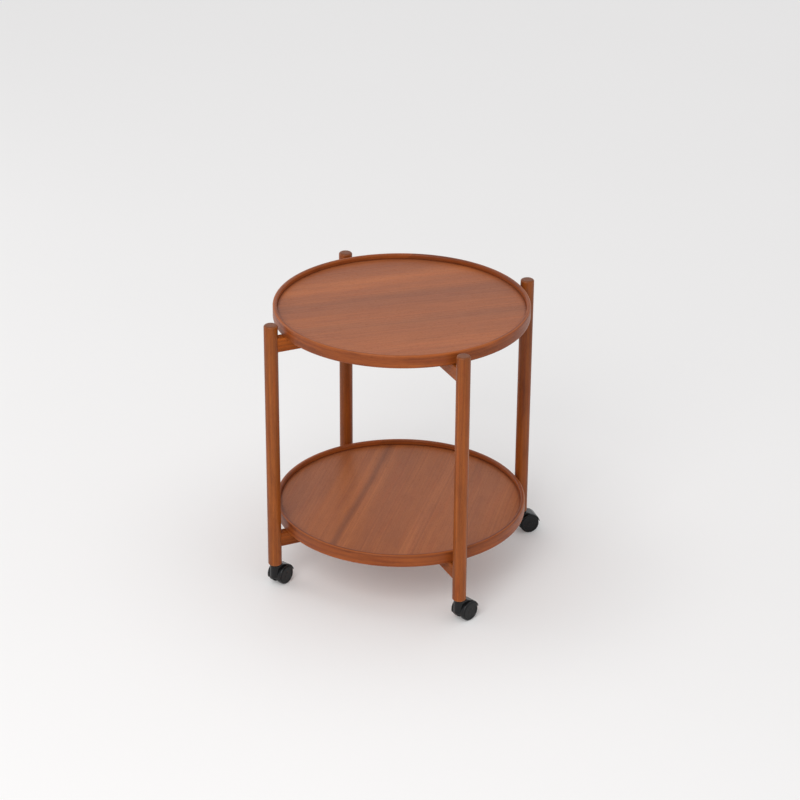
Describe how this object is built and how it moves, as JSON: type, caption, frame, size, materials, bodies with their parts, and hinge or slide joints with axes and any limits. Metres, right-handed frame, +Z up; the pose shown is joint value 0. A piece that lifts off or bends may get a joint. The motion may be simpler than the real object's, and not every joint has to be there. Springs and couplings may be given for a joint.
{
  "type": "serving trolley",
  "caption": "Round wooden serving trolley: loose trays with raised rims on a folding frame of round legs and crossed rails, on twin-wheel casters.",
  "frame": {"origin": "on the floor, below the middle of the two trays", "axes": "+Z up; the legs stand at 45, 135, 225 and 315 degrees from +X; -Y is the front"},
  "size_m": [0.48, 0.48, 0.5438],
  "materials": {
    "leg_wood": "satin oiled teak-coloured round bar, grain along the leg",
    "rail_wood": "satin oiled teak-coloured bar, grain along the rail",
    "rim_wood": "satin oiled bent wood, grain round the ring",
    "upper_veneer": "satin veneer with soft bands along the grain",
    "lower_veneer": "satin veneer with a dark streak along the grain",
    "dowel_wood": "plain beech",
    "plated_steel": "zinc-plated steel",
    "caster_plastic": "black moulded nylon, semi-matte",
    "wheel_plastic": "black moulded nylon wheel"
  },
  "bodies": {
    "frame_a": {"leg_front_left": "leg_wood", "leg_back_right": "leg_wood", "rail_a_upper": "rail_wood", "rail_a_lower": "rail_wood", "dowels_a": "dowel_wood", "pivot_bolt_upper": "plated_steel", "pivot_bolt_lower": "plated_steel", "pivot_washers_upper": "plated_steel", "pivot_washers_lower": "plated_steel", "pivot_nut_upper": "plated_steel", "pivot_nut_lower": "plated_steel", "socket_front_left": "caster_plastic", "socket_back_right": "caster_plastic"},
    "frame_b": {"leg_front_right": "leg_wood", "leg_back_left": "leg_wood", "rail_b_upper": "rail_wood", "rail_b_lower": "rail_wood", "dowels_b": "dowel_wood", "socket_front_right": "caster_plastic", "socket_back_left": "caster_plastic"},
    "tray_upper": {"rim_upper": "rim_wood", "panel_upper": "upper_veneer"},
    "tray_lower": {"rim_lower": "rim_wood", "panel_lower": "lower_veneer"},
    "caster_front_left": {"stem_front_left": "plated_steel", "hood_front_left": "caster_plastic", "axle_front_left": "plated_steel"},
    "wheel_left_front_left": {"wheel_left_front_left": "wheel_plastic"},
    "wheel_right_front_left": {"wheel_right_front_left": "wheel_plastic"},
    "caster_front_right": {"stem_front_right": "plated_steel", "hood_front_right": "caster_plastic", "axle_front_right": "plated_steel"},
    "wheel_left_front_right": {"wheel_left_front_right": "wheel_plastic"},
    "wheel_right_front_right": {"wheel_right_front_right": "wheel_plastic"},
    "caster_back_right": {"stem_back_right": "plated_steel", "hood_back_right": "caster_plastic", "axle_back_right": "plated_steel"},
    "wheel_left_back_right": {"wheel_left_back_right": "wheel_plastic"},
    "wheel_right_back_right": {"wheel_right_back_right": "wheel_plastic"},
    "caster_back_left": {"stem_back_left": "plated_steel", "hood_back_left": "caster_plastic", "axle_back_left": "plated_steel"},
    "wheel_left_back_left": {"wheel_left_back_left": "wheel_plastic"},
    "wheel_right_back_left": {"wheel_right_back_left": "wheel_plastic"}
  },
  "joints": [
    {"name": "frame_fold", "type": "hinge", "parent": "frame_a", "child": "frame_b", "pos_m": [0, 0, 0.3], "axis": [0, 0, 1], "range_deg": [0, 70]},
    {"name": "tray_upper_lift", "type": "slide", "parent": "frame_a", "child": "tray_upper", "axis": [0, 0, 1], "range_m": [0, 0.15]},
    {"name": "tray_lower_lift", "type": "slide", "parent": "frame_a", "child": "tray_lower", "axis": [0, 0, 1], "range_m": [0, 0.3]},
    {"name": "swivel_front_left", "type": "hinge", "parent": "frame_a", "child": "caster_front_left", "pos_m": [-0.18562, -0.18562, 0.04], "axis": [0, 0, 1], "continuous": true},
    {"name": "spin_left_front_left", "type": "hinge", "parent": "caster_front_left", "child": "wheel_left_front_left", "pos_m": [-0.18067, -0.1704, 0.019], "axis": [-0.9511, 0.309, 0], "continuous": true},
    {"name": "spin_right_front_left", "type": "hinge", "parent": "caster_front_left", "child": "wheel_right_front_left", "pos_m": [-0.18067, -0.1704, 0.019], "axis": [-0.9511, 0.309, 0], "continuous": true},
    {"name": "swivel_front_right", "type": "hinge", "parent": "frame_b", "child": "caster_front_right", "pos_m": [0.18562, -0.18562, 0.04], "axis": [0, 0, 1], "continuous": true},
    {"name": "spin_left_front_right", "type": "hinge", "parent": "caster_front_right", "child": "wheel_left_front_right", "pos_m": [0.19263, -0.17123, 0.019], "axis": [-0.8988, 0.4384, 0], "continuous": true},
    {"name": "spin_right_front_right", "type": "hinge", "parent": "caster_front_right", "child": "wheel_right_front_right", "pos_m": [0.19263, -0.17123, 0.019], "axis": [-0.8988, 0.4384, 0], "continuous": true},
    {"name": "swivel_back_right", "type": "hinge", "parent": "frame_a", "child": "caster_back_right", "pos_m": [0.18562, 0.18562, 0.04], "axis": [0, 0, 1], "continuous": true},
    {"name": "spin_left_back_right", "type": "hinge", "parent": "caster_back_right", "child": "wheel_left_back_right", "pos_m": [0.19822, 0.19547, 0.019], "axis": [-0.6157, 0.788, 0], "continuous": true},
    {"name": "spin_right_back_right", "type": "hinge", "parent": "caster_back_right", "child": "wheel_right_back_right", "pos_m": [0.19822, 0.19547, 0.019], "axis": [-0.6157, 0.788, 0], "continuous": true},
    {"name": "swivel_back_left", "type": "hinge", "parent": "frame_b", "child": "caster_back_left", "pos_m": [-0.18562, 0.18562, 0.04], "axis": [0, 0, 1], "continuous": true},
    {"name": "spin_left_back_left", "type": "hinge", "parent": "caster_back_left", "child": "wheel_left_back_left", "pos_m": [-0.17667, 0.19888, 0.019], "axis": [-0.829, 0.5592, 0], "continuous": true},
    {"name": "spin_right_back_left", "type": "hinge", "parent": "caster_back_left", "child": "wheel_right_back_left", "pos_m": [-0.17667, 0.19888, 0.019], "axis": [-0.829, 0.5592, 0], "continuous": true}
  ]
}
